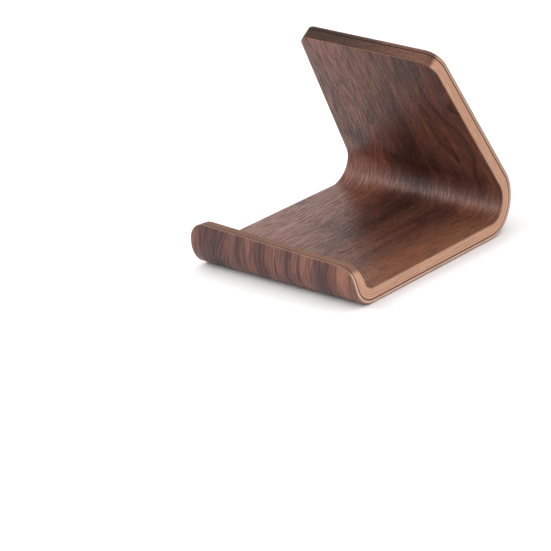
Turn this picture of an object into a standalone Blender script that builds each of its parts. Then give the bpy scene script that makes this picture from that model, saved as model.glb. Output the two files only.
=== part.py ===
"""Phone stand of bent, laminated wood.

One strip of plywood is pressed round a mould into a hook-shaped profile: a short upturned lip at
the front, a flat base that rests on the desk, and a back that leans forward over the base.  A
phone's lower edge sits behind the lip and its back leans on the top edge of the back panel.

The strip is a stack of thin wooden plies with a cured film of glue between each pair.  Every ply
and every film is one object.  Each starts as a flat blank and is then bent, so that a place in
the strip is given by three numbers:

    across   side to side, 0 on the centre line
    along    from the lip's top edge to the back's top edge, measured at mid thickness
    depth    0 on the inner face, THICKNESS on the outer face

World frame: X is the stand's width, -Y is the front, +Z is up, and the base stands on Z = 0.
"""

import math

import bmesh
import bpy

MM = 0.001

# Bent profile.
STAND_WIDTH = 75.0 * MM
LIP_HEIGHT = 4.0 * MM
LIP_BEND_RADIUS = 6.0 * MM
LIP_BEND_ANGLE = math.radians(95.0)
BASE_LENGTH = 80.0 * MM
REAR_BEND_RADIUS = 8.6 * MM
REAR_BEND_ANGLE = math.radians(125.0)
BACK_LENGTH = 70.4 * MM

# Outline of the strip, seen flat.
BACK_TAPER = 0.078
TAPER_DELAY = 6.0 * MM
LIP_SLOPE = 0.035
LIP_CORNER_LEFT = 5.2 * MM
LIP_CORNER_RIGHT = 7.6 * MM
BACK_CORNER_LEFT = 4.0 * MM
BACK_CORNER_RIGHT = 6.6 * MM

# Layers.  GAP keeps two neighbours from sharing a surface.
FACE_VENEER = 0.45 * MM
CROSSBAND = 0.80 * MM
DARK_VENEER = 0.40 * MM
CORE_PLY = 0.83 * MM
CORE_PLIES = 4
GLUE_FILM = 0.08 * MM
GAP = 0.03 * MM

# Facets.
BEND_STEP = math.radians(8.0)
CORNER_STEPS = 6
SHORTEST_ROW = 0.12 * MM
SHARP_ANGLE = math.radians(30.0)

# Colours: RGB, then roughness.
WALNUT_INNER = ((0.150, 0.072, 0.046), 0.42)
WALNUT_OUTER = ((0.175, 0.092, 0.062), 0.45)
PALE_PLY = ((0.640, 0.400, 0.270), 0.55)
PALE_CROSSBAND = ((0.660, 0.440, 0.320), 0.55)
DARK_PLY = ((0.230, 0.105, 0.060), 0.50)
GLUE = ((0.330, 0.185, 0.110), 0.35)


def layers():
    """Name, thickness and finish of every layer, from the outer face to the inner face."""
    woods = [
        ("outer_face_veneer", FACE_VENEER, WALNUT_OUTER),
        ("outer_crossband", CROSSBAND, PALE_CROSSBAND),
        ("dark_veneer", DARK_VENEER, DARK_PLY),
    ]
    for number in range(1, CORE_PLIES + 1):
        woods.append((f"core_ply_{number}", CORE_PLY, PALE_PLY))
    woods.append(("inner_face_veneer", FACE_VENEER, WALNUT_INNER))

    stack = [woods[0]]
    for number, wood in enumerate(woods[1:], start=1):
        stack.append((f"glue_film_{number}", GLUE_FILM, GLUE))
        stack.append(wood)
    return stack


def stack_thickness(stack):
    return sum(thickness for _, thickness, _ in stack) + GAP * (len(stack) - 1)


THICKNESS = stack_thickness(layers())

# Places along the strip where one stretch of the profile gives way to the next.
LIP_BEND_LENGTH = (LIP_BEND_RADIUS + THICKNESS / 2) * LIP_BEND_ANGLE
REAR_BEND_LENGTH = (REAR_BEND_RADIUS + THICKNESS / 2) * REAR_BEND_ANGLE
LIP_BEND_START = LIP_HEIGHT
BASE_START = LIP_BEND_START + LIP_BEND_LENGTH
REAR_BEND_START = BASE_START + BASE_LENGTH
TAPER_START = REAR_BEND_START + TAPER_DELAY
BACK_START = REAR_BEND_START + REAR_BEND_LENGTH
STRIP_LENGTH = BACK_START + BACK_LENGTH


def bent_section(along, depth):
    """Y and Z of a point of the profile, with Y = 0 at the base's front end."""
    inward = THICKNESS - depth
    if along < BASE_START:
        # Back from the base's front end, round the lip bend and straight up the lip.
        angle = min((BASE_START - along) / LIP_BEND_LENGTH, 1.0) * LIP_BEND_ANGLE
        straight = max(LIP_BEND_START - along, 0.0)
        radius = LIP_BEND_RADIUS + depth
        y = -radius * math.sin(angle) - straight * math.cos(angle)
        z = inward + radius * (1.0 - math.cos(angle)) + straight * math.sin(angle)
        return y, z
    if along < REAR_BEND_START:
        return along - BASE_START, inward
    angle = min((along - REAR_BEND_START) / REAR_BEND_LENGTH, 1.0) * REAR_BEND_ANGLE
    straight = max(along - BACK_START, 0.0)
    radius = REAR_BEND_RADIUS + depth
    y = BASE_LENGTH + radius * math.sin(angle) + straight * math.cos(angle)
    z = inward + radius * (1.0 - math.cos(angle)) + straight * math.sin(angle)
    return y, z


def corner_inset(distance, radius):
    """How far a rounded corner cuts in at a distance from the end of the strip."""
    if distance >= radius:
        return 0.0
    return radius - math.sqrt(radius**2 - (radius - distance) ** 2)


def half_width(along, side):
    """Half the strip's width: parallel into the rear bend, then tapering to the back's top.

    The corners are rounded by hand, so that the left ones (side below 0) are the sharper ones.
    """
    tapered = STAND_WIDTH / 2 - BACK_TAPER * max(along - TAPER_START, 0.0)
    lip_radius = LIP_CORNER_RIGHT if side > 0.0 else LIP_CORNER_LEFT
    back_radius = BACK_CORNER_RIGHT if side > 0.0 else BACK_CORNER_LEFT
    lip_corner = corner_inset(along, lip_radius)
    back_corner = corner_inset(STRIP_LENGTH - along, back_radius)
    return tapered - lip_corner - back_corner


def sloped(along, across):
    """Shift of a place along the strip, so that the lip is a little lower on its right side."""
    fade = max(1.0 - along / BASE_START, 0.0)
    return along + LIP_SLOPE * across * fade


def corner_rows(radius):
    """Distances from the strip's end that divide a corner's quarter circle evenly."""
    quarter = math.pi / 2
    return [radius * (1.0 - math.cos(quarter * i / CORNER_STEPS)) for i in range(CORNER_STEPS + 1)]


def bend_rows(start, length, angle):
    """Places that divide a bend into equal angles."""
    steps = math.ceil(angle / BEND_STEP)
    return [start + length * i / steps for i in range(steps + 1)]


def strip_rows():
    """Places along the strip where the blank is divided, from lip to back."""
    wanted = corner_rows(LIP_CORNER_RIGHT)
    wanted += bend_rows(LIP_BEND_START, LIP_BEND_LENGTH, LIP_BEND_ANGLE)
    wanted += bend_rows(REAR_BEND_START, REAR_BEND_LENGTH, REAR_BEND_ANGLE)
    wanted += [STRIP_LENGTH - distance for distance in corner_rows(BACK_CORNER_RIGHT)]
    rows = []
    for along in sorted(wanted):
        if not rows or along - rows[-1] > SHORTEST_ROW:
            rows.append(along)
    rows[-1] = STRIP_LENGTH
    return rows


def flat_blank(rows):
    """A closed slab of cells, two corners to a row.

    X of a corner is its side, -1 or 1.  Y is its row's number.  Z is 0 on the slab's outer face
    and 1 on its inner face.
    """
    blank = bmesh.new()
    spans = len(rows) - 1
    bmesh.ops.create_grid(blank, x_segments=1, y_segments=spans, size=1.0)
    for corner in blank.verts:
        corner.co.y = round((corner.co.y + 1.0) / 2.0 * spans)
    bmesh.ops.triangulate(blank, faces=blank.faces[:], quad_method="FIXED")
    inner = bmesh.ops.extrude_face_region(blank, geom=blank.faces[:])
    for item in inner["geom"]:
        if isinstance(item, bmesh.types.BMVert):
            item.co.z = 1.0
    bmesh.ops.recalc_face_normals(blank, faces=blank.faces[:])
    return blank


def bend_blank(blank, rows, inner_depth, outer_depth):
    """Cut the slab to the strip's outline and press it into the bent profile."""
    for corner in blank.verts:
        row = rows[round(corner.co.y)]
        across = corner.co.x * half_width(row, corner.co.x)
        along = sloped(row, across)
        depth = inner_depth if corner.co.z > 0.5 else outer_depth
        y, z = bent_section(along, depth)
        corner.co = (across, y, z)


def finish_material(name, finish):
    colour, roughness = finish
    material = bpy.data.materials.new(name)
    material.use_nodes = True
    shader = material.node_tree.nodes["Principled BSDF"]
    shader.inputs["Base Color"].default_value = (*colour, 1.0)
    shader.inputs["Roughness"].default_value = roughness
    shader.inputs["Metallic"].default_value = 0.0
    material.diffuse_color = (*colour, 1.0)
    return material


def make_layer(name, inner_depth, outer_depth, finish, rows, collection, stand):
    """One ply or glue film as an object parented to the stand's empty."""
    blank = flat_blank(rows)
    bend_blank(blank, rows, inner_depth, outer_depth)
    mesh = bpy.data.meshes.new(name)
    blank.to_mesh(mesh)
    blank.free()
    mesh.shade_smooth()
    mesh.set_sharp_from_angle(angle=SHARP_ANGLE)
    mesh.materials.append(finish_material(name, finish))
    layer = bpy.data.objects.new(name, mesh)
    layer.parent = stand
    collection.objects.link(layer)
    return layer


def clear_scene():
    for item in list(bpy.data.objects):
        bpy.data.objects.remove(item, do_unlink=True)


def build_stand():
    clear_scene()
    collection = bpy.data.collections.new("phone_stand")
    bpy.context.scene.collection.children.link(collection)

    # The empty carries the stand to the middle of its own footprint.
    front = -(LIP_BEND_RADIUS + THICKNESS)
    rear = BASE_LENGTH + REAR_BEND_RADIUS + THICKNESS
    stand = bpy.data.objects.new("stand_origin", None)
    stand.location = (0.0, -(front + rear) / 2, 0.0)
    collection.objects.link(stand)

    rows = strip_rows()
    outer_depth = THICKNESS
    for name, thickness, finish in layers():
        inner_depth = outer_depth - thickness
        make_layer(name, inner_depth, outer_depth, finish, rows, collection, stand)
        outer_depth = inner_depth - GAP


build_stand()
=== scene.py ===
"""Looks of the bent laminated-wood phone stand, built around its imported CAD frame.

Every ply and every glue film gets a finished piece with fine bends and sanded edges.  The
pieces carry an attribute, "strip", that says where each point lies in the flat strip:

    X  across the strip, 0 on the centre line, in millimetres
    Y  along the strip from the lip's top edge to the back's top edge, in millimetres
    Z  depth below the inner face, in millimetres

The wood's grain, pores and figure are drawn in those three numbers, so that they follow the
bends as real veneer does.
"""

import math

import bmesh
import bpy
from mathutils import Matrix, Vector


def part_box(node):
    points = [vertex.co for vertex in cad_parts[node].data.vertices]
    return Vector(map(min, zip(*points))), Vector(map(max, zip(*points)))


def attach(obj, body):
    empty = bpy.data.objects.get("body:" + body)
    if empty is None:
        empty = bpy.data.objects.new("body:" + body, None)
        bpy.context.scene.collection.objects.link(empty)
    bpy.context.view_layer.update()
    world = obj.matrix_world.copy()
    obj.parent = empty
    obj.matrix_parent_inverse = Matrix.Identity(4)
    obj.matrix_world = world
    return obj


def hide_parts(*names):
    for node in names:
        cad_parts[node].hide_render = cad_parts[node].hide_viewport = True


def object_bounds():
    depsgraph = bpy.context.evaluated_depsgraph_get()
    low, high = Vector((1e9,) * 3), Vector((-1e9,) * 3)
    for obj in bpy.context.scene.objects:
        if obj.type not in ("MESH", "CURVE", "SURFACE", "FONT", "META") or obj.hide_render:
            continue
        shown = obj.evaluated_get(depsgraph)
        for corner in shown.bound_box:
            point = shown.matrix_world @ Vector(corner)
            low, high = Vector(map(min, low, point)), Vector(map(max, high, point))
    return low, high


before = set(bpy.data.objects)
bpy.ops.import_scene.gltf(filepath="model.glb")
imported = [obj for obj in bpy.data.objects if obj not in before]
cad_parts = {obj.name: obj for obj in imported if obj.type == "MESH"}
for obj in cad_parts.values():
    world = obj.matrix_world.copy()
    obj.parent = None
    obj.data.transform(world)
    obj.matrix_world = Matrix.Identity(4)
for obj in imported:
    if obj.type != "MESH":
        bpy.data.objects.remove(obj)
cad_low, cad_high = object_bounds()

MM = 0.001

# Bent profile: the CAD's driving dimensions.
LIP_HEIGHT = 4.0 * MM
LIP_BEND_RADIUS = 6.0 * MM
LIP_BEND_ANGLE = math.radians(95.0)
BASE_LENGTH = 80.0 * MM
REAR_BEND_RADIUS = 8.6 * MM
REAR_BEND_ANGLE = math.radians(125.0)
BACK_LENGTH = 70.4 * MM
BACK_TAPER = 0.078
TAPER_DELAY = 6.0 * MM
LIP_SLOPE = 0.035
LIP_CORNER_LEFT = 5.2 * MM
LIP_CORNER_RIGHT = 7.6 * MM
BACK_CORNER_LEFT = 4.0 * MM
BACK_CORNER_RIGHT = 6.6 * MM
FACE_VENEER = 0.45 * MM

# Measured on the frame.
STAND_WIDTH = cad_high.x - cad_low.x
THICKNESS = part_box("inner_face_veneer")[0].z - cad_low.z + FACE_VENEER
BASE_FRONT_Y = cad_low.y + LIP_BEND_RADIUS + THICKNESS

# Places along the strip where one stretch of the profile gives way to the next.
LIP_BEND_LENGTH = (LIP_BEND_RADIUS + THICKNESS / 2) * LIP_BEND_ANGLE
REAR_BEND_LENGTH = (REAR_BEND_RADIUS + THICKNESS / 2) * REAR_BEND_ANGLE
BASE_START = LIP_HEIGHT + LIP_BEND_LENGTH
REAR_BEND_START = BASE_START + BASE_LENGTH
TAPER_START = REAR_BEND_START + TAPER_DELAY
BACK_START = REAR_BEND_START + REAR_BEND_LENGTH
STRIP_LENGTH = BACK_START + BACK_LENGTH

# Fineness of the finished pieces.
BEND_STEP = math.radians(1.6)
FLAT_STEP = 5.0 * MM
CORNER_STEPS = 14
SHORTEST_ROW = 0.06 * MM
FACE_COLUMNS = 10
INSIDE_COLUMNS = 2
ROUNDING_STEPS = 5
SHARP_ANGLE = math.radians(40.0)

# Sanding: the rim of each face is eased, and the glue films are rubbed a little hollow.
RIM_RADIUS = 0.45 * MM
FILM_HOLLOW = 0.03 * MM


# ---------------------------------------------------------------- the strip's shape


def bent_section(along, depth):
    """Y and Z of a point of the profile."""
    inward = THICKNESS - depth
    if along < BASE_START:
        # Back from the base's front end, round the lip bend and straight up the lip.
        angle = min((BASE_START - along) / LIP_BEND_LENGTH, 1.0) * LIP_BEND_ANGLE
        straight = max(LIP_HEIGHT - along, 0.0)
        radius = LIP_BEND_RADIUS + depth
        y = -radius * math.sin(angle) - straight * math.cos(angle)
        z = inward + radius * (1.0 - math.cos(angle)) + straight * math.sin(angle)
    elif along < REAR_BEND_START:
        y = along - BASE_START
        z = inward
    else:
        angle = min((along - REAR_BEND_START) / REAR_BEND_LENGTH, 1.0) * REAR_BEND_ANGLE
        straight = max(along - BACK_START, 0.0)
        radius = REAR_BEND_RADIUS + depth
        y = BASE_LENGTH + radius * math.sin(angle) + straight * math.cos(angle)
        z = inward + radius * (1.0 - math.cos(angle)) + straight * math.sin(angle)
    return BASE_FRONT_Y + y, cad_low.z + z


def corner_inset(distance, radius):
    """How far a rounded corner cuts in at a distance from the end of the strip."""
    if distance >= radius:
        return 0.0
    return radius - math.sqrt(max(radius**2 - (radius - distance) ** 2, 0.0))


def half_width(along, inset, side):
    """Half the width of the outline that lies an inset inside the strip's own outline.

    The left corners (side below 0) are the sharper ones.
    """
    tapered = STAND_WIDTH / 2 - BACK_TAPER * max(along - TAPER_START, 0.0)
    lip_radius = LIP_CORNER_RIGHT if side > 0.0 else LIP_CORNER_LEFT
    back_radius = BACK_CORNER_RIGHT if side > 0.0 else BACK_CORNER_LEFT
    lip_corner = corner_inset(along - inset, lip_radius - inset)
    back_corner = corner_inset(STRIP_LENGTH - inset - along, back_radius - inset)
    return tapered - inset - lip_corner - back_corner


def inset_row(along, inset):
    """The place of a row on the inset outline: rows slide towards the corners' centres."""
    if along < LIP_CORNER_RIGHT:
        return inset + along * (1.0 - inset / LIP_CORNER_RIGHT)
    from_end = STRIP_LENGTH - along
    if from_end < BACK_CORNER_RIGHT:
        return STRIP_LENGTH - inset - from_end * (1.0 - inset / BACK_CORNER_RIGHT)
    return along


def sloped(along, across):
    """Shift of a place along the strip, so that the lip is a little lower on its right side."""
    fade = max(1.0 - along / BASE_START, 0.0)
    return along + LIP_SLOPE * across * fade


def even_steps(start, end, step):
    """Places from start to end, evenly spaced and at most a step apart."""
    count = max(math.ceil((end - start) / step), 1)
    return [start + (end - start) * i / count for i in range(count + 1)]


def corner_rows(radius):
    """Distances from the strip's end that divide a corner's quarter circle evenly."""
    quarter = math.pi / 2
    return [radius * (1.0 - math.cos(quarter * i / CORNER_STEPS)) for i in range(CORNER_STEPS + 1)]


def strip_rows():
    """Places along the strip where the pieces are divided, from lip to back."""
    lip_step = BEND_STEP * LIP_BEND_LENGTH / LIP_BEND_ANGLE
    rear_step = BEND_STEP * REAR_BEND_LENGTH / REAR_BEND_ANGLE
    wanted = corner_rows(LIP_CORNER_RIGHT)
    wanted += even_steps(LIP_HEIGHT, BASE_START, lip_step)
    wanted += even_steps(BASE_START, REAR_BEND_START, FLAT_STEP)
    wanted += even_steps(REAR_BEND_START, BACK_START, rear_step)
    wanted += even_steps(BACK_START, STRIP_LENGTH - BACK_CORNER_RIGHT, FLAT_STEP)
    wanted += [STRIP_LENGTH - distance for distance in corner_rows(BACK_CORNER_RIGHT)]
    rows = []
    for along in sorted(wanted):
        if not rows or along - rows[-1] > SHORTEST_ROW:
            rows.append(along)
    rows[-1] = STRIP_LENGTH
    return rows


def rim_inset(depth):
    """How far the eased rims of the two faces pull the edge in at a depth."""
    from_face = min(depth, THICKNESS - depth)
    return corner_inset(max(from_face, 0.0), RIM_RADIUS)


# ---------------------------------------------------------------- the finished pieces


def edge_rings(outer_depth, inner_depth, hollow):
    """Depth and inset of each ring round a layer's edge, from its outer to its inner skin."""
    depths = [outer_depth, inner_depth]
    if outer_depth > THICKNESS - RIM_RADIUS or inner_depth < RIM_RADIUS:
        span = outer_depth - inner_depth
        depths = []
        for i in range(ROUNDING_STEPS + 1):
            share = i / ROUNDING_STEPS
            # Rings crowd towards the outside of the stack, where the rim turns fastest.
            if outer_depth > THICKNESS / 2:
                share = share**2
            else:
                share = 1.0 - (1.0 - share) ** 2
            depths.append(outer_depth - span * share)
    return [(depth, rim_inset(depth) + hollow) for depth in depths]


def flat_blank(spans, columns, layers):
    """A closed slab of cells whose X, Y and Z count its columns, rows and rings."""
    blank = bmesh.new()
    bmesh.ops.create_grid(blank, x_segments=columns, y_segments=spans, size=1.0)
    for corner in blank.verts:
        corner.co.x = round((corner.co.x + 1.0) / 2.0 * columns)
        corner.co.y = round((corner.co.y + 1.0) / 2.0 * spans)
    cap = blank.faces[:]
    for layer in range(1, layers):
        moved = bmesh.ops.extrude_face_region(blank, geom=cap)
        if layer > 1:
            bmesh.ops.delete(blank, geom=cap, context="FACES")
        cap = [item for item in moved["geom"] if isinstance(item, bmesh.types.BMFace)]
        for item in moved["geom"]:
            if isinstance(item, bmesh.types.BMVert):
                item.co.z = layer
    bmesh.ops.recalc_face_normals(blank, faces=blank.faces[:])
    return blank


def finished_layer(node, outer_depth, inner_depth, columns, hollow, rows):
    """The finished piece that stands for one CAD node."""
    rings = edge_rings(outer_depth, inner_depth, hollow)
    blank = flat_blank(len(rows) - 1, columns, len(rings))
    places = []
    for corner in blank.verts:
        depth, inset = rings[round(corner.co.z)]
        row = inset_row(rows[round(corner.co.y)], inset)
        side = 2.0 * corner.co.x / columns - 1.0
        across = side * half_width(row, inset, side)
        along = sloped(row, across)
        y, z = bent_section(along, depth)
        places.append((across / MM, row / MM, depth / MM))
        corner.co = (across, y, z)
    mesh = bpy.data.meshes.new("finished_" + node)
    blank.to_mesh(mesh)
    blank.free()
    strip = mesh.attributes.new("strip", "FLOAT_VECTOR", "POINT")
    strip.data.foreach_set("vector", [number for place in places for number in place])
    mesh.shade_smooth()
    mesh.set_sharp_from_angle(angle=SHARP_ANGLE)
    piece = bpy.data.objects.new("finished_" + node, mesh)
    bpy.context.scene.collection.objects.link(piece)
    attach(piece, "root")
    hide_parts(node)
    return piece


def layer_depths():
    """Outer and inner depth of each CAD layer, from the frame; each reaches its neighbour."""
    outer = {node: THICKNESS - (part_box(node)[0].z - cad_low.z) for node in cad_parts}
    order = sorted(outer, key=outer.get)
    depths = {}
    inner = 0.0
    for node in order:
        depths[node] = (outer[node], inner)
        inner = outer[node]
    return depths


# ---------------------------------------------------------------- node helpers


class Graph:
    """Short ways to add shader nodes to one material."""

    def __init__(self, name):
        self.material = bpy.data.materials.new(name)
        self.material.use_nodes = True
        self.tree = self.material.node_tree
        self.shader = self.tree.nodes["Principled BSDF"]
        strip = self.add("ShaderNodeAttribute")
        strip.attribute_name = "strip"
        self.place = strip.outputs["Vector"]
        # The same place, one number at a time.
        self.across, self.along, self.depth = self.split(self.place)

    def add(self, kind):
        return self.tree.nodes.new(kind)

    def feed(self, socket, value):
        """Links an output to a socket, or sets the socket's own value."""
        if isinstance(value, bpy.types.NodeSocket):
            self.tree.links.new(value, socket)
        elif isinstance(value, tuple) and len(value) == 3 and socket.type == "RGBA":
            socket.default_value = (*value, 1.0)
        else:
            socket.default_value = value

    def math(self, operation, first, second=0.0, third=0.0):
        node = self.add("ShaderNodeMath")
        node.operation = operation
        for socket, value in zip(node.inputs, (first, second, third)):
            self.feed(socket, value)
        return node.outputs[0]

    def add_share(self, value, share, base):
        """The base plus a share of the value."""
        return self.math("MULTIPLY_ADD", value, share, base)

    def stretched(self, vector, scale):
        """The vector times a scale for each axis."""
        node = self.add("ShaderNodeVectorMath")
        node.operation = "MULTIPLY"
        self.feed(node.inputs[0], vector)
        self.feed(node.inputs[1], scale)
        return node.outputs[0]

    def split(self, vector):
        node = self.add("ShaderNodeSeparateXYZ")
        self.feed(node.inputs[0], vector)
        return node.outputs

    def join(self, x, y, z):
        node = self.add("ShaderNodeCombineXYZ")
        for socket, value in zip(node.inputs, (x, y, z)):
            self.feed(socket, value)
        return node.outputs[0]

    def noise(self, vector, scale, seed, detail, rough, distortion=0.0):
        """Noise from 0 to 1.  Four-dimensional, so that a seed gives a pattern of its own.

        The scale is that of each axis of the vector, in cells per millimetre.
        """
        node = self.add("ShaderNodeTexNoise")
        node.noise_dimensions = "4D"
        self.feed(node.inputs["Vector"], self.stretched(vector, scale))
        self.feed(node.inputs["W"], seed)
        self.feed(node.inputs["Scale"], 1.0)
        self.feed(node.inputs["Detail"], detail)
        self.feed(node.inputs["Roughness"], rough)
        self.feed(node.inputs["Distortion"], distortion)
        return node.outputs["Fac"]

    def window(self, value, low, high):
        """0 below low, 1 above high, smooth between.  With low above high it falls instead."""
        node = self.add("ShaderNodeMapRange")
        node.interpolation_type = "SMOOTHSTEP"
        self.feed(node.inputs["Value"], value)
        rising = low < high
        self.feed(node.inputs["From Min"], low if rising else high)
        self.feed(node.inputs["From Max"], high if rising else low)
        self.feed(node.inputs["To Min"], 0.0 if rising else 1.0)
        self.feed(node.inputs["To Max"], 1.0 if rising else 0.0)
        return node.outputs["Result"]

    def hump(self, value, centre, width):
        """A smooth rise to 1 at the centre that has died away at a width to either side."""
        away = self.math("ABSOLUTE", self.math("SUBTRACT", value, centre))
        return self.window(away, width, 0.0)

    def spot(self, across, along, width, length):
        """1 in the middle of a soft oval on the strip, 0 outside it."""
        return self.math("MULTIPLY", self.hump(self.across, across, width),
                         self.hump(self.along, along, length))

    def ramp(self, value, stops):
        """A colour ramp from a list of (place, colour)."""
        node = self.add("ShaderNodeValToRGB")
        node.color_ramp.interpolation = "B_SPLINE"
        elements = node.color_ramp.elements
        while len(elements) < len(stops):
            elements.new(0.5)
        for element, (place, colour) in zip(elements, stops):
            element.position = place
            element.color = (*colour, 1.0)
        self.feed(node.inputs["Fac"], value)
        return node.outputs["Color"]

    def blend(self, share, first, second, mode="MIX"):
        node = self.add("ShaderNodeMix")
        node.data_type = "RGBA"
        node.blend_type = mode
        self.feed(node.inputs["Factor"], share)
        colours = [socket for socket in node.inputs if socket.type == "RGBA"]
        self.feed(colours[0], first)
        self.feed(colours[1], second)
        return [socket for socket in node.outputs if socket.type == "RGBA"][0]

    def finish(self, colour, roughness, height, distance, shine):
        """Feeds the shader.  A height of 1 stands out by the distance, in metres."""
        bump = self.add("ShaderNodeBump")
        self.feed(bump.inputs["Height"], height)
        self.feed(bump.inputs["Distance"], distance)
        self.feed(bump.inputs["Strength"], 1.0)
        self.feed(self.shader.inputs["Base Color"], colour)
        self.feed(self.shader.inputs["Roughness"], roughness)
        self.feed(self.shader.inputs["Normal"], bump.outputs["Normal"])
        self.shader.inputs["Specular IOR Level"].default_value = shine
        return self.material


# ---------------------------------------------------------------- walnut faces


OILED_SHINE = 0.42
WALNUT_BUMP = 0.30 * MM

# Colours are linear RGB.  Places on the strip are in its own millimetres, so they carry no MM.
# Growth rings show more where the strip has turned up into the back.
BACK_RINGS_FROM = (112.0, 135.0)
# A painted sheen: the inner face is lightened in a band along the tight rear bend, where its
# highlight runs.
PAINTED_SHEEN_WIDTH = 4.8
PAINTED_SHEEN_TONE = 0.22
ZONE_TONE = 0.40
KNOT_SEED = 40.0

INNER_LOOK = {
    "colours": ((0.031, 0.0085, 0.0050), (0.094, 0.0290, 0.0180), (0.215, 0.074, 0.048)),
    "warm": (0.220, 0.082, 0.038),
    "pore": (0.024, 0.008, 0.006),
    "cut": (0.380, 0.190, 0.110),
    "wander": 16.0,
    "bands": 0.55,
    "streaks": 0.55,
    "mottle": 0.45,
    "rings": 0.06,
    "back_rings": 0.26,
    "fibre": 0.75,
    # Stripes run the whole strip: (centre, half width, change of tone).  This one is a painted
    # reflection that lightens the left third, where the pale surroundings reflect.
    "stripes_and_reflection": ((-27.0, 27.0, 0.28),),
    # Patches end: (across, along, half width, half length, change of tone).  First a broad darker
    # patch down the middle, centred on the rear bend.
    "patches": ((2.0, 98.0, 22.0, 72.0, -0.27), (-25.0, 137.0, 12.0, 13.0, -0.30),
                (22.0, 122.0, 14.0, 14.0, -0.14), (-9.0, 38.0, 15.0, 24.0, 0.20)),
    # The warm margin is on the right, and it dies away up the back.
    "margin": (15.0, 33.0),
    "margin_end": (122.0, 90.0),
    # Knots: (across, along, radius).
    "knots": ((29.0, 170.0, 2.6), (-12.0, 128.0, 2.2), (-35.5, 75.0, 2.8)),
    "roughness": 0.25,
    # The painted sheen's band lies here, inside the rear bend.
    "painted_sheen_row": REAR_BEND_START / MM + 10.5,
}
OUTER_LOOK = {
    "colours": ((0.042, 0.0140, 0.0150), (0.112, 0.040, 0.033), (0.250, 0.100, 0.064)),
    "warm": (0.240, 0.100, 0.055),
    "pore": (0.026, 0.010, 0.011),
    "cut": (0.380, 0.190, 0.110),
    "wander": 10.0,
    "bands": 0.65,
    "streaks": 0.85,
    "mottle": 0.4,
    "rings": 0.10,
    "back_rings": 0.10,
    "fibre": 0.80,
    # Narrow dark and light growth bands that show on the lip, and one broad dark one on its left.
    "stripes_and_reflection": ((-25.0, 2.5, -0.18), (-21.0, 3.0, -0.18), (-5.5, 2.2, -0.06), (-0.5, 2.2, 0.18),
                (7.0, 1.8, -0.16), (15.5, 3.0, 0.20), (21.0, 1.2, -0.20), (24.5, 1.1, -0.20),
                (31.5, 4.5, 0.28), (-29.0, 13.0, -0.08)),
    "patches": (),
    "margin": (24.0, 36.0),
    "margin_end": (40.0, 10.0),
    "knots": ((-26.0, 13.0, 3.6),),
    "roughness": 0.32,
    # Only the inner face gets the painted sheen along the rear bend.
    "painted_sheen_row": None,
}


def growth_line(graph, seed, wander, knots):
    """Place of a point counted in growth lines, so that noise read from it runs as grain does.

    The lines drift sideways as they run along the strip, and part to pass round each knot.
    """
    drift = graph.noise(graph.place, (0.030, 0.011, 0.0), seed, 2.0, 0.5)
    shift = graph.math("MULTIPLY", graph.math("SUBTRACT", drift, 0.5), wander)
    for across, along, radius in knots:
        near = graph.spot(across, along, 2.6 * radius, 5.0 * radius)
        shift = graph.add_share(near, 1.4 * radius, shift)
    return graph.join(graph.math("ADD", graph.across, shift), graph.along, graph.depth)


def growth_rings(graph, line, across, seed):
    """Each ring darkens slowly to its late wood, 1, and starts again from 0 with a crisp line."""
    warp = graph.noise(line, (0.040, 0.010, 0.0), seed, 2.0, 0.5)
    count = graph.add_share(warp, 6.0, graph.math("MULTIPLY", across, 0.05))
    return graph.math("POWER", graph.math("FRACT", count), 4.0)


def walnut_tone(graph, line, across, seed, look):
    """Tone of the wood: about 0.2 for the darkest, 0.5 on the whole, 0.8 for the palest."""
    zones = graph.noise(line, (0.045, 0.006, 0.0), seed + 1.0, 2.0, 0.5)
    bands = graph.noise(line, (0.22, 0.006, 0.1), seed + 2.0, 3.0, 0.6)
    streaks = graph.noise(line, (1.1, 0.025, 0.4), seed + 3.0, 3.0, 0.65)
    mottle = graph.noise(line, (0.34, 0.13, 0.0), seed + 4.0, 4.0, 0.65, 0.6)
    tone = 0.5
    for layer, weight in ((zones, ZONE_TONE), (bands, look["bands"]),
                          (streaks, look["streaks"]), (mottle, look["mottle"])):
        tone = graph.add_share(graph.math("SUBTRACT", layer, 0.5), weight, tone)
    on_back = graph.window(graph.along, *BACK_RINGS_FROM)
    ringed = graph.add_share(on_back, look["back_rings"], look["rings"])
    rings = growth_rings(graph, line, across, seed + 8.0)
    tone = graph.math("SUBTRACT", tone, graph.math("MULTIPLY", rings, ringed))
    # Stripes: growth bands on the outer face; on the inner face, a painted reflection over the
    # left third.
    for centre, width, weight in look["stripes_and_reflection"]:
        tone = graph.add_share(graph.hump(across, centre, width), weight, tone)
    for patch_across, patch_along, width, length, weight in look["patches"]:
        # A patch keeps to its growth lines sideways, and to its place along the strip.
        patch = graph.math("MULTIPLY", graph.hump(across, patch_across, width),
                           graph.hump(graph.along, patch_along, length))
        tone = graph.add_share(patch, weight, tone)
    # Painted sheen: a band of lighter tone along the rear bend, where the highlight runs.
    if look["painted_sheen_row"] is not None:
        painted_sheen = graph.hump(graph.along, look["painted_sheen_row"], PAINTED_SHEEN_WIDTH)
        tone = graph.add_share(painted_sheen, PAINTED_SHEEN_TONE, tone)
    return tone


def knot_shade(graph, knots):
    """1 in the heart of any knot, 0 away from all of them."""
    ragged = graph.noise(graph.place, (0.8, 0.4, 0.0), KNOT_SEED, 3.0, 0.6)
    shade = 0.0
    for across, along, radius in knots:
        near = graph.spot(across, along, radius, 2.2 * radius)
        shade = graph.math("MAXIMUM", shade, near)
    return graph.window(graph.math("MULTIPLY", shade, graph.math("ADD", ragged, 0.45)), 0.25, 0.75)


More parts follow.
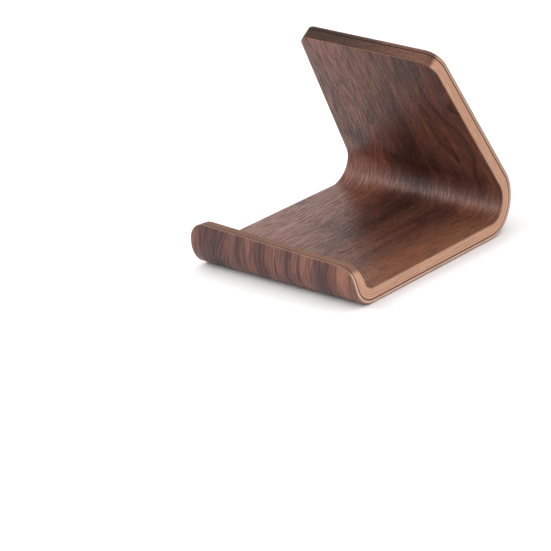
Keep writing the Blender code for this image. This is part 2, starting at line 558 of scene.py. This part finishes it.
def warm_heart(graph, line, across, seed, look):
    """How reddish the wood is: here and there, and most of all along the right margin."""
    cloud = graph.noise(line, (0.07, 0.012, 0.0), seed, 2.0, 0.5)
    here_and_there = graph.math("MULTIPLY", graph.window(cloud, 0.5, 0.7), 0.5)
    margin = graph.math("MULTIPLY", graph.window(across, *look["margin"]),
                        graph.window(graph.along, *look["margin_end"]))
    return graph.math("MULTIPLY", graph.math("MAXIMUM", here_and_there, margin), 0.75)


def raw_rim(graph, colour, from_face, look):
    """The cut through the veneer, on the strip's own edge, is paler than its oiled face."""
    # The ends of the strip are stained, so there the cut shows far less.
    stained = graph.add_share(end_share(graph), -0.75, 1.0)
    # The rounded rim of the face is warmed a little: partly wear, partly a painted highlight along
    # the rim.
    worn_and_lit_rim = graph.math("MULTIPLY", graph.window(from_face, 0.01, 0.10), 0.35)
    colour = graph.blend(graph.math("MULTIPLY", worn_and_lit_rim, stained), colour, look["warm"])
    cut = graph.math("MULTIPLY", graph.window(from_face, 0.12, 0.32), 0.8)
    return graph.blend(graph.math("MULTIPLY", cut, stained), colour, look["cut"])


def walnut(name, seed, look, from_face):
    """Oiled walnut veneer with its grain along the strip.

    from_face gives the distance below the veneer's oiled face.
    """
    graph = Graph(name)
    line = growth_line(graph, seed, look["wander"], look["knots"])
    across = graph.split(line)[0]
    tone = walnut_tone(graph, line, across, seed, look)
    dark, middle, light = look["colours"]
    colour = graph.ramp(tone, [(0.22, dark), (0.50, middle), (0.78, light)])
    colour = graph.blend(warm_heart(graph, line, across, seed + 5.0, look), colour, look["warm"])

    # Fibres, and the open pores of walnut: fine dark grooves that the oil has not filled.
    fibre = graph.noise(line, (1.2, 0.15, 2.0), seed + 6.0, 3.0, 0.80)
    pores = graph.noise(line, (1.8, 0.09, 1.0), seed + 7.0, 1.0, 0.6)
    open_pore = graph.window(pores, 0.50, 0.60)
    shade = graph.ramp(fibre, [(0.30, (0.38, 0.34, 0.32)), (0.70, (1.66, 1.66, 1.66))])
    colour = graph.blend(look["fibre"], colour, shade, "MULTIPLY")
    colour = graph.blend(graph.math("MULTIPLY", open_pore, 0.50), colour, look["pore"])
    knot = knot_shade(graph, look["knots"])
    colour = graph.blend(graph.math("MULTIPLY", knot, 0.8), colour, look["pore"])
    colour = raw_rim(graph, colour, from_face(graph), look)

    roughness = graph.add_share(fibre, 0.18, look["roughness"])
    roughness = graph.add_share(open_pore, 0.14, roughness)
    height = graph.add_share(open_pore, -0.6, graph.math("MULTIPLY", fibre, 1.3))
    return graph.finish(colour, roughness, height, WALNUT_BUMP, OILED_SHINE)


# ---------------------------------------------------------------- plies and glue


# Raw wood on the edge, unlike the oiled faces, hardly shines.
RAW_EDGE_SHINE = 0.2
SANDED_BUMP = 0.05 * MM
FILM_BUMP = 0.02 * MM
SOAKED_WOOD = (0.260, 0.120, 0.070)
SOAKED_DEPTH = (0.20, 0.02)
# Painted shade: where the edge has turned up into the back, its colour is made a little darker.
BACK_PAINTED_SHADE_FROM = (112.0, 132.0)
# A stained end gives way to the clean side half way round a corner.
END_FADE = (2.6, 1.2)

# light and shade are the wood's palest and darkest tones.  The back's tone shift is painted shade:
# it darkens the edge up the back.  end_tint lightens or darkens its stained ends.
DARK_VENEER_LOOK = {
    "light": (0.100, 0.043, 0.028),
    "shade": (0.045, 0.018, 0.012),
    "back_painted_shade": -0.07,
    "end_tint": 0.15,
}
CROSSBAND_LOOK = {
    "light": (0.700, 0.490, 0.400),
    "shade": (0.386, 0.240, 0.175),
    "back_painted_shade": -0.24,
    "end_tint": 1.2,
}
CORE_LOOK = {
    "light": (0.640, 0.375, 0.255),
    "shade": (0.430, 0.225, 0.138),
    "back_painted_shade": -0.07,
    "end_tint": 1.0,
}


def end_share(graph):
    """1 on the two cut ends of the strip, 0 along its sides.

    The lip's end is cleaner towards its right, where the plies can still be told apart.
    """
    far, near = END_FADE
    lip_stain = graph.add_share(graph.window(graph.across, 30.0, -12.0), 0.07, 0.80)
    lip_end = graph.math("MULTIPLY", graph.window(graph.along, far, near), lip_stain)
    length = STRIP_LENGTH / MM
    back_end = graph.window(graph.along, length - far, length - near)
    return graph.math("MAXIMUM", lip_end, back_end)


def end_stain(graph, seed):
    """End grain drinks the oil and turns dark and speckled, most of all at the back's left."""
    speck = graph.noise(graph.place, (0.9, 0.5, 1.6), seed, 3.0, 0.8, 0.2)
    blotch = graph.noise(graph.place, (0.12, 0.02, 0.5), seed + 1.0, 2.0, 0.5)
    on_back = graph.window(graph.along, 60.0, 120.0)
    soaked = graph.math("MULTIPLY", on_back, graph.window(graph.across, 26.0, -24.0))
    value = graph.add_share(soaked, -0.42, graph.math("MULTIPLY", blotch, 0.5))
    value = graph.add_share(graph.math("SUBTRACT", speck, 0.22), 0.9, value)
    return graph.ramp(value, [(0.10, (0.010, 0.005, 0.005)), (0.35, (0.050, 0.022, 0.014)),
                              (0.65, (0.160, 0.074, 0.048))])


def glue_soak(graph, outer_depth, inner_depth):
    """Glue has soaked a little way into a ply from the glue line on either side of it."""
    from_glue = graph.math("MINIMUM", graph.math("SUBTRACT", graph.depth, inner_depth / MM),
                           graph.math("SUBTRACT", outer_depth / MM, graph.depth))
    return graph.math("MULTIPLY", graph.window(from_glue, *SOAKED_DEPTH), 0.4)


def sanded_wood(name, seed, depths, look, cross):
    """Wood seen on the strip's sanded edge.

    depths are those of the ply's two faces.  cross turns its grain across the strip.
    """
    graph = Graph(name)
    fibre_scale = (0.12, 3.0, 4.5) if cross else (3.0, 0.12, 4.5)
    fibre = graph.noise(graph.place, fibre_scale, seed, 4.0, 0.65)
    patch = graph.noise(graph.place, (0.20, 0.13, 0.8), seed + 1.0, 3.0, 0.6, 0.4)
    line = graph.noise(graph.place, (0.05, 0.03, 3.2), seed + 2.0, 2.0, 0.6)
    tone = graph.add_share(patch, 0.6, graph.math("MULTIPLY", line, 0.4))
    # Painted shade: the edge is darkened up the back.
    on_back = graph.window(graph.along, *BACK_PAINTED_SHADE_FROM)
    tone = graph.add_share(on_back, look["back_painted_shade"], tone)
    colour = graph.ramp(tone, [(0.38, look["shade"]), (0.62, look["light"])])
    fibre_shade = graph.ramp(fibre, [(0.28, (0.50, 0.42, 0.38)), (0.72, (1.36, 1.40, 1.44))])
    colour = graph.blend(0.8, colour, fibre_shade, "MULTIPLY")
    colour = graph.blend(glue_soak(graph, *depths), colour, SOAKED_WOOD)

    end = end_share(graph)
    tinted = graph.stretched(end_stain(graph, seed + 3.0), (look["end_tint"],) * 3)
    colour = graph.blend(graph.math("MULTIPLY", end, 0.94), colour, tinted)
    roughness = graph.add_share(fibre, 0.2, 0.45)
    roughness = graph.add_share(end, 0.25, roughness)
    return graph.finish(colour, roughness, fibre, SANDED_BUMP, RAW_EDGE_SHINE)


def cured_glue(name, seed):
    """Amber wood glue, squeezed thin and thick along its line."""
    graph = Graph(name)
    flow = graph.noise(graph.place, (0.5, 0.5, 1.0), seed, 3.0, 0.6)
    colour = graph.ramp(flow, [(0.30, (0.210, 0.105, 0.060)), (0.70, (0.330, 0.185, 0.115))])
    stained = graph.math("MULTIPLY", end_share(graph), 0.9)
    colour = graph.blend(stained, colour, end_stain(graph, seed + 3.0))
    roughness = graph.add_share(flow, 0.2, 0.30)
    return graph.finish(colour, roughness, flow, FILM_BUMP, RAW_EDGE_SHINE)


# ---------------------------------------------------------------- the stand


# Each layer's patterns start from seeds of their own.
SEED_STEP = 10.0


def below_inner_face(graph):
    return graph.depth


def below_outer_face(graph):
    return graph.math("SUBTRACT", THICKNESS / MM, graph.depth)


def layer_material(node, seed, depths):
    """The finish of one layer, and the record's slot that it stands for."""
    if node == "outer_face_veneer":
        return walnut("walnut_outer", seed, OUTER_LOOK, below_outer_face), "walnut_outer"
    if node == "inner_face_veneer":
        return walnut("walnut_inner", seed, INNER_LOOK, below_inner_face), "walnut_inner"
    if node == "dark_veneer":
        return sanded_wood("dark_veneer", seed, depths, DARK_VENEER_LOOK, False), "dark_veneer"
    if node == "outer_crossband":
        wood = sanded_wood("pale_crossband", seed, depths, CROSSBAND_LOOK, True)
        return wood, "pale_crossband"
    number = int(node[-1])
    if node.startswith("glue_film"):
        return cured_glue(f"cured_glue_{number}", seed), "cured_glue"
    # Every other core ply has its grain turned across the strip.
    cross = number % 2 == 0
    return sanded_wood(f"pale_core_{number}", seed, depths, CORE_LOOK, cross), "pale_core"


def make_stand():
    rows = strip_rows()
    for number, (node, (outer_depth, inner_depth)) in enumerate(sorted(layer_depths().items())):
        columns = FACE_COLUMNS if node.endswith("face_veneer") else INSIDE_COLUMNS
        hollow = FILM_HOLLOW if node.startswith("glue_film") else 0.0
        piece = finished_layer(node, outer_depth, inner_depth, columns, hollow, rows)
        material, slot = layer_material(node, SEED_STEP * number, (outer_depth, inner_depth))
        piece.data.materials.append(material)


# ---------------------------------------------------------------- studio

FLOOR_SIZE = 12.0
FLOOR_COLOUR = (0.85, 0.85, 0.85, 1.0)
FLOOR_ROUGHNESS = 0.9
WORLD_COLOUR = (1.0, 1.0, 1.0, 1.0)
WORLD_LIGHT = 1.3
KEY_POWER = 10.5
KEY_SIZE = 1.0
KEY_DISTANCE = 1.6
KEY_AZIMUTH = math.radians(-42.0)
KEY_ELEVATION = math.radians(36.0)

CAMERA_AZIMUTH = math.radians(36.15)
CAMERA_ELEVATION = math.radians(21.56)
CAMERA_DISTANCE = 1.2077
CAMERA_FOCAL = 208.1
CAMERA_CLIP = (0.05, 50.0)
SENSOR_WIDTH = 36.0
# The point that the camera looks at is to the stand's left and in front of it, so that the
# stand itself sits high and to the right in the picture.
CAMERA_TARGET = Vector((-16.51, -28.39, -5.92)) * MM


def direction(azimuth, elevation):
    """Unit vector towards a place round the stand.  Azimuth 0 is straight in front of it."""
    level = math.cos(elevation)
    return Vector((math.sin(azimuth) * level, -math.cos(azimuth) * level, math.sin(elevation)))


def stand_off(item, target, azimuth, elevation, distance):
    """Stands a camera or lamp at a distance from the target and turns it to face it."""
    towards = direction(azimuth, elevation)
    item.location = target + towards * distance
    item.rotation_mode = "QUATERNION"
    item.rotation_quaternion = (-towards).to_track_quat("-Z", "Y")
    bpy.context.scene.collection.objects.link(item)


def make_floor():
    floor = bmesh.new()
    bmesh.ops.create_grid(floor, x_segments=1, y_segments=1, size=FLOOR_SIZE / 2)
    mesh = bpy.data.meshes.new("studio_floor")
    floor.to_mesh(mesh)
    floor.free()
    material = bpy.data.materials.new("pale_floor")
    material.use_nodes = True
    shader = material.node_tree.nodes["Principled BSDF"]
    shader.inputs["Base Color"].default_value = FLOOR_COLOUR
    shader.inputs["Roughness"].default_value = FLOOR_ROUGHNESS
    mesh.materials.append(material)
    piece = bpy.data.objects.new("studio_floor", mesh)
    piece.location.z = cad_low.z
    bpy.context.scene.collection.objects.link(piece)


def make_world():
    world = bpy.data.worlds.new("studio")
    world.use_nodes = True
    background = world.node_tree.nodes["Background"]
    background.inputs["Color"].default_value = WORLD_COLOUR
    background.inputs["Strength"].default_value = WORLD_LIGHT
    bpy.context.scene.world = world


def make_key_light():
    lamp = bpy.data.lights.new("key", "AREA")
    lamp.shape = "DISK"
    lamp.size = KEY_SIZE
    lamp.energy = KEY_POWER
    item = bpy.data.objects.new("key", lamp)
    stand_off(item, (cad_low + cad_high) / 2, KEY_AZIMUTH, KEY_ELEVATION, KEY_DISTANCE)


def make_camera():
    data = bpy.data.cameras.new("camera")
    data.sensor_width = SENSOR_WIDTH
    data.lens = CAMERA_FOCAL
    data.clip_start, data.clip_end = CAMERA_CLIP
    camera = bpy.data.objects.new("camera", data)
    stand_off(camera, CAMERA_TARGET, CAMERA_AZIMUTH, CAMERA_ELEVATION, CAMERA_DISTANCE)
    bpy.context.scene.camera = camera


make_stand()
make_floor()
make_world()
make_key_light()
make_camera()
bpy.context.scene.view_settings.view_transform = "Standard"
